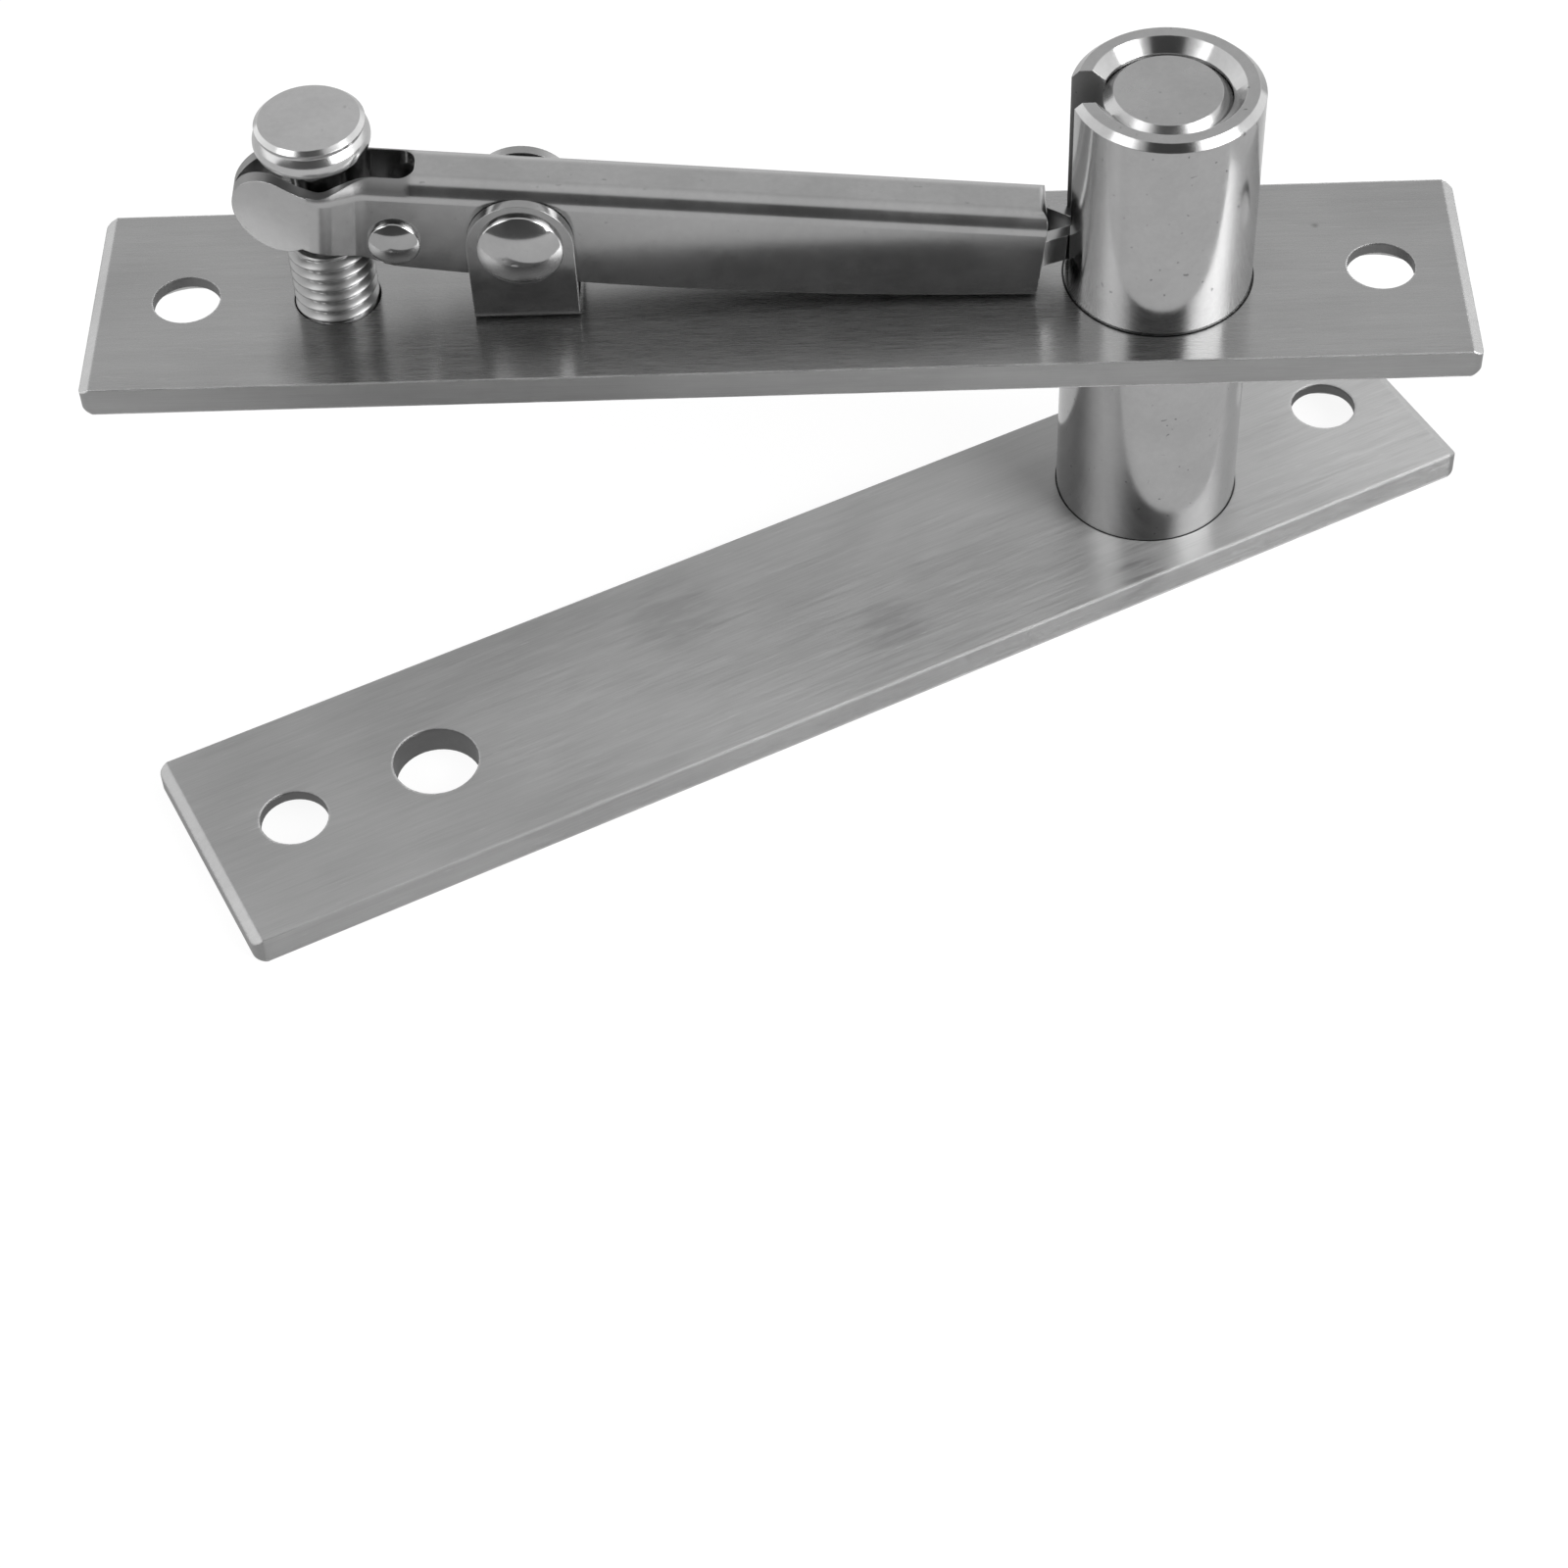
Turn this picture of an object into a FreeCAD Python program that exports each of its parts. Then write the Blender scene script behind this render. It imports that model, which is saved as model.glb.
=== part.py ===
import FreeCAD, Part
import math
import os
import re
import Sketcher

# Concealed pivot hinge for a door that swings both ways
# Two flat leaves share one vertical pivot axis. The upper leaf carries a guide
# barrel whose pin drops into the socket of the lower leaf, and a lever with an
# adjusting screw that lifts the pin clear again.
# Frame: millimetres, +Z up, origin on the pivot axis at the underside of the
# socket leaf. The upper leaf lies along X.

SIZES = {
    # both leaves, cut from the same flat bar
    "leaf_length": 130.0,
    "leaf_width": 24.4,
    "leaf_thickness": 3.0,
    "leaf_corner_radius": 0.9,
    "leaf_end_bevel_run": 1.0,
    "leaf_end_bevel_drop": 0.6,
    "leaf_gap": 24.0,
    "leaf_angle": 27.0,
    "pivot_from_far_end": 100.8,
    # countersunk screw holes
    "screw_hole_diameter": 6.4,
    "countersink_diameter": 10.1,
    "far_hole_from_end": 9.0,
    "near_hole_from_end": 8.2,
    "key_hole_diameter": 8.1,
    # guide barrel
    "barrel_diameter": 17.7,
    "barrel_height": 22.2,
    "barrel_foot_chamfer": 0.25,
    "barrel_rim_chamfer": 0.65,
    "barrel_mouth_chamfer": 1.15,
    "barrel_slot_width": 4.5,
    "spigot_diameter": 15.0,
    # pivot pin
    "pin_diameter": 11.7,
    "pin_clearance": 0.05,
    "pin_below_rim": 0.65,
    "pin_reach": 12.8,
    "pin_top_chamfer": 0.9,
    "pin_tip_chamfer": 1.2,
    "pin_notch_height": 5.0,
    # socket barrel
    "socket_diameter": 17.7,
    "socket_height": 22.2,
    "socket_floor": 4.0,
    "socket_clearance": 0.1,
    "socket_mouth_chamfer": 1.0,
    "socket_edge_chamfer": 0.5,
    # adjusting screw
    "thread_diameter": 8.0,
    "thread_clearance": 0.06,
    "screw_from_fulcrum": 18.2,
    "screw_end_recess": 0.4,
    "screw_shoulder_height": 7.5,
    "screw_end_chamfer": 0.7,
    "neck_diameter": 5.0,
    "neck_length": 10.8,
    "head_diameter": 10.8,
    "head_thickness": 3.0,
    "head_top_chamfer": 0.9,
    "head_under_chamfer": 0.5,
    "key_socket_width": 4.0,
    "key_socket_depth": 4.5,
    # lever, one folded sheet
    "lever_sheet": 1.2,
    "lever_bend_radius": 1.9,
    "lever_tilt": 6.2,
    "lever_width": 6.4,
    "lever_end_width": 6.3,
    "web_start": -9.9,
    "web_end": 48.3,
    "web_height": 5.7,
    "web_corner_radius": 0.8,
    "cutout_corner_radius": 1.5,
    "flange_start_depth": 3.85,
    "flange_end_depth": 3.2,
    "belly_depth": 4.75,
    "flange_corner_radius": 0.6,
    "bulge_start": -14.6,
    "bulge_peak": -18.2,
    "bulge_out": 1.65,
    "bulge_fold_radius": 2.5,
    "ear_taper_angle": 23.0,
    "ear_radius": 3.85,
    "ear_centre_run": -22.7,
    "ear_centre_rise": 1.05,
    "ear_dip_run": -19.6,
    "ear_dip_height": 4.5,
    "ear_underside_depth": 1.7,
    "ear_low_angle": 45.0,
    "shoulder_run": -11.3,
    "nose_width": 3.4,
    "nose_height": 3.0,
    "nose_centre_rise": 1.75,
    "nose_taper_length": 3.0,
    "nose_past_axis": 3.0,
    "nose_side_clearance": 0.3,
    "nose_end_clearance": 0.7,
    # fulcrum bracket and rivets
    "fulcrum_from_pivot": 59.2,
    "fulcrum_height": 8.9,
    "bracket_sheet": 1.0,
    "bracket_width": 9.9,
    "bracket_bend_radius": 1.2,
    "cheek_clearance": 0.12,
    "fulcrum_shank_diameter": 4.0,
    "fulcrum_shank_clearance": 0.05,
    "fulcrum_head_diameter": 8.0,
    "fulcrum_head_height": 1.9,
    "tie_shank_diameter": 2.5,
    "tie_head_diameter": 4.9,
    "tie_head_height": 1.3,
    "tie_rivet_run": -11.6,
    "tie_rivet_drop": 0.95,
    "rivet_rim": 0.55,
}

doc = FreeCAD.newDocument("PivotHinge")
sheet = doc.addObject("Spreadsheet::Sheet", "Sizes")
for row, (alias, number) in enumerate(SIZES.items(), start=1):
    sheet.set(f"A{row}", alias)
    sheet.set(f"B{row}", str(number))
    sheet.setAlias(f"B{row}", alias)
doc.recompute()

# Heights of the leaves above the floor
MECHANISM_FLOOR = "leaf_thickness + leaf_gap"
MECHANISM_TOP = "2 * leaf_thickness + leaf_gap"
# Ends of the leaves along their length, from the pivot axis
FAR_END = "-pivot_from_far_end"
NEAR_END = "leaf_length - pivot_from_far_end"
ALIAS = re.compile(r"\b[a-z]+(?:_[a-z]+)+\b")


def value(expression):
    """The number that an expression over the sheet has now."""
    return float(sheet.evalExpression(expression))


def bound(expression):
    """The same expression, written so that another object can read the sheet."""
    return ALIAS.sub(lambda found: "Sizes." + found.group(0), expression)


def bind(item, setting, expression):
    """Tie one setting of an object to the sheet."""
    item.setExpression(setting, bound(expression))


def new_body(label, x="0", z="0"):
    """An empty body that stands at x, z in the row's frame."""
    body = doc.addObject("PartDesign::Body", label)
    body.Label = label
    bind(body, "Placement.Base.x", x)
    bind(body, "Placement.Base.z", z)
    return body


def new_sketch(body, name, plane, offset="0"):
    """A sketch on one of the body's own origin planes, moved along its normal."""
    sketch = body.newObject("Sketcher::SketchObject", name)
    role = plane + "_Plane"
    support = [face for face in body.Origin.OriginFeatures if face.Role == role][0]
    sketch.AttachmentSupport = [(support, "")]
    sketch.MapMode = "FlatFace"
    bind(sketch, "AttachmentOffset.Base.z", offset)
    return sketch


def fix(sketch, kind, geometry, point, expression):
    """Hold one coordinate of a point of the sketch at an expression."""
    number = value(expression)
    rule = sketch.addConstraint(Sketcher.Constraint(kind, -1, 1, geometry, point, number))
    title = f"{kind}_{geometry}_{point}"
    sketch.renameConstraint(rule, title)
    bind(sketch, "Constraints." + title, expression)


def measure(sketch, kind, geometry, expression):
    """Hold a radius or a diameter at an expression."""
    rule = sketch.addConstraint(Sketcher.Constraint(kind, geometry, value(expression)))
    title = f"{kind}_{geometry}"
    sketch.renameConstraint(rule, title)
    bind(sketch, "Constraints." + title, expression)


def arc_middle(start, end, radius, side):
    """The middle of an arc that bulges to the left (1) or right (-1) of the way
    from start to end; side 2 or -2 takes the long way round."""
    chord = end - start
    half = chord.Length / 2
    across = FreeCAD.Vector(-chord.y, chord.x, 0).normalize() * math.copysign(1, side)
    reach = math.sqrt(max(radius * radius - half * half, 0))
    rise = radius + reach if abs(side) == 2 else radius - reach
    return start + chord * 0.5 + across * rise


def outline(sketch, corners):
    """A closed outline. Each corner is (x, y), or (x, y, radius, side) where the
    edge that leaves it is an arc. A sketch draws its arcs anticlockwise, so one
    that bulges to the left of the way is drawn from its far end."""
    points = [FreeCAD.Vector(value(corner[0]), value(corner[1]), 0) for corner in corners]
    ends = []
    for index, corner in enumerate(corners):
        start = points[index]
        end = points[(index + 1) % len(points)]
        if len(corner) == 2:
            line = Part.LineSegment(start, end)
            ends.append((sketch.addGeometry(line, False), 1, 2))
            continue
        side = corner[3]
        middle = arc_middle(start, end, value(corner[2]), side)
        if side > 0:
            ends.append((sketch.addGeometry(Part.Arc(end, middle, start), False), 2, 1))
        else:
            ends.append((sketch.addGeometry(Part.Arc(start, middle, end), False), 1, 2))
    for index, (geometry, first, last) in enumerate(ends):
        following = ends[(index + 1) % len(ends)]
        sketch.addConstraint(
            Sketcher.Constraint("Coincident", geometry, last, following[0], following[1])
        )
    for corner, (geometry, first, last) in zip(corners, ends):
        fix(sketch, "DistanceX", geometry, first, corner[0])
        fix(sketch, "DistanceY", geometry, first, corner[1])
        if len(corner) == 4:
            measure(sketch, "Radius", geometry, corner[2])


def circle(sketch, x, y, diameter):
    """A circle of the sketch, its centre and diameter tied to the sheet."""
    centre = FreeCAD.Vector(value(x), value(y), 0)
    ring = Part.Circle(centre, FreeCAD.Vector(0, 0, 1), value(diameter) / 2)
    geometry = sketch.addGeometry(ring, False)
    fix(sketch, "DistanceX", geometry, 3, x)
    fix(sketch, "DistanceY", geometry, 3, y)
    measure(sketch, "Diameter", geometry, diameter)


def pad(body, sketch, name, length, both_ways=False):
    """Thicken a sketch along its normal, or half to each side of it."""
    feature = body.newObject("PartDesign::Pad", name)
    feature.Profile = sketch
    bind(feature, "Length", length)
    if both_ways:
        feature.SideType = "Symmetric"
    doc.recompute()


# Longer than any piece, for a cut that goes right through
THROUGH = "2 * leaf_length"


def cut(body, sketch, name, length=THROUGH, both_ways=False, forward=False):
    """Cut a sketch out of the body: through everything, or to a depth."""
    before = body.Shape.Volume
    feature = body.newObject("PartDesign::Pocket", name)
    feature.Profile = sketch
    bind(feature, "Length", length)
    if both_ways:
        feature.SideType = "Symmetric"
    feature.Reversed = forward
    doc.recompute()
    if body.Shape.Volume >= before:
        raise RuntimeError(f"{body.Label}: {name} cuts nothing")


# All the way round, in degrees
FULL_TURN = 360


def revolve(body, sketch, name):
    """Turn a sketch all the way round its own upright axis."""
    feature = body.newObject("PartDesign::Revolution", name)
    feature.Profile = sketch
    feature.ReferenceAxis = (sketch, ["V_Axis"])
    feature.Angle = FULL_TURN
    doc.recompute()


def edges_where(body, test):
    """Names of the edges of the body's present shape that pass a test."""
    names = []
    for number, edge in enumerate(body.Tip.Shape.Edges, start=1):
        if test(edge):
            names.append(f"Edge{number}")
    if not names:
        raise RuntimeError(f"{body.Label}: no edge found to finish")
    return names


def finish_edges(body, kind, name, size, test):
    """A chamfer or fillet on the edges that pass a test."""
    base = body.Tip
    names = edges_where(body, test)
    feature = body.newObject("PartDesign::" + kind, name)
    feature.Base = (base, names)
    bind(feature, "Size" if kind == "Chamfer" else "Radius", size)
    doc.recompute()


NEAR = 1e-4


def is_circle(edge, radius, height):
    """True for a full circle of that radius at that height in the body."""
    curve = edge.Curve
    if not isinstance(curve, Part.Circle) or not edge.isClosed():
        return False
    return abs(curve.Radius - radius) < NEAR and abs(edge.BoundBox.ZMin - height) < NEAR


def leaf(label, height, plain_holes):
    """A flat bar with rounded corners, ground ends and countersunk end holes.
    The countersinks open downwards, on the leaf's outer face."""
    body = new_body(label, z=height)
    half = "leaf_width / 2"
    corner = "leaf_corner_radius"
    plan = new_sketch(body, label + "_plan", "XY")
    outline(plan, [
        (f"{FAR_END} + {corner}", f"-{half}"),
        (f"{NEAR_END} - {corner}", f"-{half}", corner, -1),
        (NEAR_END, f"-{half} + {corner}"),
        (NEAR_END, f"{half} - {corner}", corner, -1),
        (f"{NEAR_END} - {corner}", half),
        (f"{FAR_END} + {corner}", half, corner, -1),
        (FAR_END, f"{half} - {corner}"),
        (FAR_END, f"-{half} + {corner}", corner, -1),
    ])
    pad(body, plan, label + "_bar", "leaf_thickness")
    bevels = new_sketch(body, label + "_bevels", "XZ")
    for end, inward in ((FAR_END, "+"), (NEAR_END, "-")):
        inner = f"{end} {inward} leaf_end_bevel_run"
        top = "leaf_thickness"
        outline(bevels, [
            (end, f"{top} - leaf_end_bevel_drop"),
            (inner, top),
            (end, top),
        ])
        outline(bevels, [(end, "leaf_end_bevel_drop"), (inner, "0"), (end, "0")])
    cut(body, bevels, label + "_ground_ends", both_ways=True)
    holes = new_sketch(body, label + "_holes", "XY")
    circle(holes, f"{FAR_END} + far_hole_from_end", "0", "screw_hole_diameter")
    circle(holes, f"{NEAR_END} - near_hole_from_end", "0", "screw_hole_diameter")
    for run, diameter in plain_holes:
        circle(holes, run, "0", diameter)
    cut(body, holes, label + "_drilled", forward=True)
    radius = value("screw_hole_diameter / 2")
    finish_edges(
        body, "Chamfer", label + "_countersinks",
        "(countersink_diameter - screw_hole_diameter) / 2",
        lambda edge: is_circle(edge, radius, 0),
    )
    return body


SCREW_RUN = "-fulcrum_from_pivot - screw_from_fulcrum"


def make_socket_leaf():
    """The lower leaf, turned about the pivot axis so that its long end swings
    out, with a key hole that meets the adjusting screw when both leaves align."""
    body = leaf("socket_leaf_plate", "0", [
        ("0", "socket_diameter"),
        (SCREW_RUN, "key_hole_diameter"),
    ])
    body.Placement.Rotation.Axis = FreeCAD.Vector(0, 0, 1)
    bind(body, "Placement.Rotation.Angle", "leaf_angle")


def make_pivot_leaf():
    """The upper leaf: the guide barrel's spigot and the adjusting screw pass
    through it."""
    leaf("pivot_leaf_plate", MECHANISM_FLOOR, [
        ("0", "spigot_diameter"),
        (SCREW_RUN, "thread_diameter + 2 * thread_clearance"),
    ])


def make_socket_barrel():
    """A turned cup, closed at the bottom, that the pivot pin drops into."""
    body = new_body("socket_barrel")
    outer = "socket_diameter / 2"
    bore = "(pin_diameter / 2 + socket_clearance)"
    top = "(leaf_thickness + socket_height)"
    edge = "socket_edge_chamfer"
    mouth = "socket_mouth_chamfer"
    half = new_sketch(body, "socket_section", "XZ")
    outline(half, [
        ("0", "0"),
        (f"{outer} - {edge}", "0"),
        (outer, edge),
        (outer, f"{top} - {edge}"),
        (f"{outer} - {edge}", top),
        (f"{bore} + {mouth}", top),
        (bore, f"{top} - {mouth}"),
        (bore, "socket_floor"),
        ("0", "socket_floor"),
    ])
    revolve(body, half, "socket_turned")


def make_guide_barrel():
    """A thick turned tube with chamfered rim, riveted through the upper leaf by
    its spigot and slotted down one side for the lever's nose."""
    body = new_body("guide_barrel", z=MECHANISM_TOP)
    outer = "barrel_diameter / 2"
    bore = "(pin_diameter / 2 + pin_clearance)"
    top = "barrel_height"
    half = new_sketch(body, "barrel_section", "XZ")
    outline(half, [
        (bore, "-leaf_thickness"),
        ("spigot_diameter / 2", "-leaf_thickness"),
        ("spigot_diameter / 2", "0"),
        (f"{outer} - barrel_foot_chamfer", "0"),
        (outer, "barrel_foot_chamfer"),
        (outer, f"{top} - barrel_rim_chamfer"),
        (f"{outer} - barrel_rim_chamfer", top),
        (f"{bore} + barrel_mouth_chamfer", top),
        (bore, f"{top} - barrel_mouth_chamfer"),
    ])
    revolve(body, half, "barrel_turned")
    slot = new_sketch(body, "barrel_slot", "XY")
    outline(slot, [
        (f"-{outer} - barrel_slot_width", "-barrel_slot_width / 2"),
        ("0", "-barrel_slot_width / 2"),
        ("0", "barrel_slot_width / 2"),
        (f"-{outer} - barrel_slot_width", "barrel_slot_width / 2"),
    ])
    cut(body, slot, "barrel_slotted", forward=True)


# The pin's two ends, from the top face of the upper leaf
PIN_TOP = "(barrel_height - pin_below_rim)"
PIN_TIP = "(-leaf_thickness - pin_reach)"
# The nose's middle on the pivot axis, from the top face of the upper leaf
NOSE_LEVEL = (
    "(fulcrum_height + (nose_centre_rise - fulcrum_from_pivot * sin(lever_tilt))"
    " / cos(lever_tilt))"
)


def make_pivot_pin():
    """A turned pin, milled from one side for the lever's nose."""
    body = new_body("pivot_pin", z=MECHANISM_TOP)
    radius = "pin_diameter / 2"
    half = new_sketch(body, "pin_section", "XZ")
    outline(half, [
        ("0", PIN_TIP),
        (f"{radius} - pin_tip_chamfer", PIN_TIP),
        (radius, f"{PIN_TIP} + pin_tip_chamfer"),
        (radius, f"{PIN_TOP} - pin_top_chamfer"),
        (f"{radius} - pin_top_chamfer", PIN_TOP),
        ("0", PIN_TOP),
    ])
    revolve(body, half, "pin_turned")
    notch = new_sketch(body, "pin_notch", "XZ")
    inner = "nose_past_axis + nose_end_clearance"
    outline(notch, [
        ("-pin_diameter", f"{NOSE_LEVEL} - pin_notch_height / 2"),
        (inner, f"{NOSE_LEVEL} - pin_notch_height / 2"),
        (inner, f"{NOSE_LEVEL} + pin_notch_height / 2"),
        ("-pin_diameter", f"{NOSE_LEVEL} + pin_notch_height / 2"),
    ])
    cut(body, notch, "pin_milled", "nose_width + 2 * nose_side_clearance", both_ways=True)


def make_adjusting_screw():
    """A set screw with a narrow neck and a plain round head. Its end takes a
    hexagon key from the leaf's outer face."""
    body = new_body("adjusting_screw", SCREW_RUN, MECHANISM_TOP)
    thread = "thread_diameter / 2"
    neck = "neck_diameter / 2"
    head = "head_diameter / 2"
    end = "(screw_end_recess - leaf_thickness)"
    under = "(screw_shoulder_height + neck_length)"
    top = f"({under} + head_thickness)"
    half = new_sketch(body, "screw_section", "XZ")
    outline(half, [
        ("0", end),
        (f"{thread} - screw_end_chamfer", end),
        (thread, f"{end} + screw_end_chamfer"),
        (thread, "screw_shoulder_height - screw_end_chamfer"),
        (f"{thread} - screw_end_chamfer", "screw_shoulder_height"),
        (neck, "screw_shoulder_height"),
        (neck, under),
        (f"{head} - head_under_chamfer", under),
        (head, f"{under} + head_under_chamfer"),
        (head, f"{top} - head_top_chamfer / 2"),
        (f"{head} - head_top_chamfer", top),
        ("0", top),
    ])
    revolve(body, half, "screw_turned")
    key = new_sketch(body, "screw_key_socket", "XY", end)
    outline(key, hexagon("key_socket_width"))
    cut(body, key, "screw_broached", "key_socket_depth", forward=True)


def hexagon(across):
    """The six corners of a hexagon measured across its flats."""
    sixth = FULL_TURN / 6
    reach = f"({across} / 2 / cos({sixth / 2}))"
    return [
        (f"{reach} * cos({sixth * turn})", f"{reach} * sin({sixth * turn})")
        for turn in range(6)
    ]


def dome_corners(head, height):
    """A low dome as a flat crown and two cones, from its crown out to its rim.
    Each corner is a distance from the rivet's middle line and a rise."""
    rise = f"({height} - rivet_rim)"
    dome = f"((({head} / 2) ^ 2 + {rise} ^ 2) / (2 * {rise}))"
    corners = [("0", f"{height} - {dome} + sqrt({dome} ^ 2 - ({head} / 6) ^ 2)")]
    for share in ("1 / 6", "1 / 3", "1 / 2"):
        reach = f"({head} * {share})"
        level = f"{height} - {dome} + sqrt({dome} ^ 2 - {reach} ^ 2)"
        corners.append((reach, level))
    return corners


def turned_rivet(label, x, z, grip, shank, head, height):
    """A rivet across the mechanism with a low domed head at each end. It is
    turned about its own length, which lies along Y."""
    body = new_body(label, x, z)
    sketch = new_sketch(body, label + "_section", "XY")
    dome = dome_corners(head, height)
    outline(sketch, [
        *[(reach, f"-{grip} - ({rise})") for reach, rise in dome],
        (f"{head} / 2", f"-{grip}"),
        (f"{shank} / 2", f"-{grip}"),
        (f"{shank} / 2", f"{grip}"),
        (f"{head} / 2", f"{grip}"),
        *[(reach, f"{grip} + {rise}") for reach, rise in dome[::-1]],
    ])
    revolve(body, sketch, label + "_turned")


FULCRUM_RUN = "-fulcrum_from_pivot"
FULCRUM_LEVEL = f"{MECHANISM_TOP} + fulcrum_height"
# Half widths across the mechanism, from its middle plane
CHEEK_INNER = "(lever_width / 2 + cheek_clearance)"
CHEEK_OUTER = "(lever_width / 2 + cheek_clearance + bracket_sheet)"


def make_fulcrum_bracket():
    """A strip folded into a U: its base lies on the leaf under the lever, and
    its two round-topped cheeks carry the fulcrum rivet."""
    body = new_body("fulcrum_bracket", FULCRUM_RUN, MECHANISM_TOP)
    outer_bend = "bracket_bend_radius"
    inner_bend = "(bracket_bend_radius - bracket_sheet)"
    top = "(fulcrum_height + bracket_width / 2)"
    fold = new_sketch(body, "bracket_fold", "YZ")
    outline(fold, [
        (f"-{CHEEK_OUTER} + {outer_bend}", "0"),
        (f"{CHEEK_OUTER} - {outer_bend}", "0", outer_bend, -1),
        (CHEEK_OUTER, outer_bend),
        (CHEEK_OUTER, top),
        (CHEEK_INNER, top),
        (CHEEK_INNER, outer_bend, inner_bend, 1),
        (f"{CHEEK_INNER} - {inner_bend}", "bracket_sheet"),
        (f"-{CHEEK_INNER} + {inner_bend}", "bracket_sheet", inner_bend, 1),
        (f"-{CHEEK_INNER}", outer_bend),
        (f"-{CHEEK_INNER}", top),
        (f"-{CHEEK_OUTER}", top),
        (f"-{CHEEK_OUTER}", outer_bend, outer_bend, -1),
    ])
    pad(body, fold, "bracket_strip", "bracket_width", both_ways=True)
    crown = new_sketch(body, "bracket_crown", "XZ")
    wide = "bracket_width"
    outline(crown, [
        ("-bracket_width / 2", "fulcrum_height", "bracket_width / 2", 1),
        ("0", top, "bracket_width / 2", 1),
        ("bracket_width / 2", "fulcrum_height"),
        (wide, "fulcrum_height"),
        (wide, f"fulcrum_height + {wide}"),
        (f"-{wide}", f"fulcrum_height + {wide}"),
        (f"-{wide}", "fulcrum_height"),
    ])
    cut(body, crown, "bracket_rounded", both_ways=True)
    bore = new_sketch(body, "bracket_bore", "XZ")
    circle(bore, "0", "fulcrum_height", "fulcrum_shank_diameter")
    cut(body, bore, "bracket_drilled", both_ways=True)


def mirrored(corners):
    """One side's corners and then the other side's, back to the first end."""
    near = [(x, f"-1 * ({y})") for x, y in corners]
    return near + corners[::-1]


def inner_corner(x, y, before, after):
    """The inner corner of a folded sheet whose outer corner is at x, y, where it
    turns from one angle to another."""
    middle = f"(({before} + {after}) / 2)"
    spread = f"cos(({after} - {before}) / 2)"
    return (
        f"{x} + lever_sheet * sin({middle}) / {spread}",
        f"{y} - lever_sheet * cos({middle}) / {spread}",
    )


def inner_face(corners, angles):
    """The inner corners of a folded sheet. corners are on its outer face, and
    angles has the direction of each straight between them."""
    before = [angles[0]] + angles
    after = angles + [angles[-1]]
    return [
        inner_corner(x, y, first, second)
        for (x, y), first, second in zip(corners, before, after)
    ]


def folded_strips(sketch, corners, angles):
    """Both strips of the lever's sheet seen from above, one on each side."""
    ring = corners + inner_face(corners, angles)[::-1]
    outline(sketch, ring)
    outline(sketch, [(x, f"-1 * ({y})") for x, y in ring])


def is_upright(edge, run, half):
    """True for an upright edge at that run and half width, on either side."""
    box = edge.BoundBox
    if box.ZLength < NEAR or abs(box.XMax - run) > NEAR or abs(box.XMin - run) > NEAR:
        return False
    return abs(abs(box.Center.y) - half) < NEAR


def is_level(edge, height):
    """True for an edge at one height that doesn't lie across the lever."""
    box = edge.BoundBox
    level = abs(box.ZMin - height) < NEAR and abs(box.ZMax - height) < NEAR
    return level and box.XLength > NEAR


def fold_edges(body, name, corner, radius):
    """Round the upright edges of one fold on both sides of the lever."""
    run = value(corner[0])
    half = value(corner[1])
    finish_edges(body, "Fillet", name, radius, lambda edge: is_upright(edge, run, half))


# Half widths of the lever's outer face at its folds
LEVER_HALF = "(lever_width / 2)"
LEVER_END_HALF = "(lever_end_width / 2)"
PEAK_HALF = "(lever_width / 2 + bulge_out)"
NOSE_HALF = "(nose_width / 2)"
# Directions of its straights seen from above
BULGE_ANGLE = "(-1 * atan(bulge_out / (bulge_start - bulge_peak)) / 1 deg)"
TAPER = f"(({LEVER_END_HALF} - {LEVER_HALF}) / (web_end - bulge_start))"
TAPER_ANGLE = f"(atan({TAPER}) / 1 deg)"
NOSE_ANGLE = f"(atan(({NOSE_HALF} - {LEVER_END_HALF}) / nose_taper_length) / 1 deg)"
# Where the bulge's fold ends on the ear, and where the ear and the nose end
FOLD_END = "(bulge_peak - bulge_fold_radius / 2)"
FOLD_END_HALF = f"({PEAK_HALF} - bulge_fold_radius / 2 * tan(ear_taper_angle))"
EAR_END = "(ear_centre_run - ear_radius - lever_sheet)"
EAR_END_HALF = f"({PEAK_HALF} - (bulge_peak - {EAR_END}) * tan(ear_taper_angle))"
NOSE_TIP = "(fulcrum_from_pivot / cos(lever_tilt) + nose_past_axis)"
# The walls reach this low before the side outline is cut out of them, and the
# nose's strips reach this high
LEVER_FOOT = "(-belly_depth - lever_sheet)"
BEND_FOOT = "(web_height - lever_bend_radius)"
UNDER_WEB = "(web_height - lever_sheet)"


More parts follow.
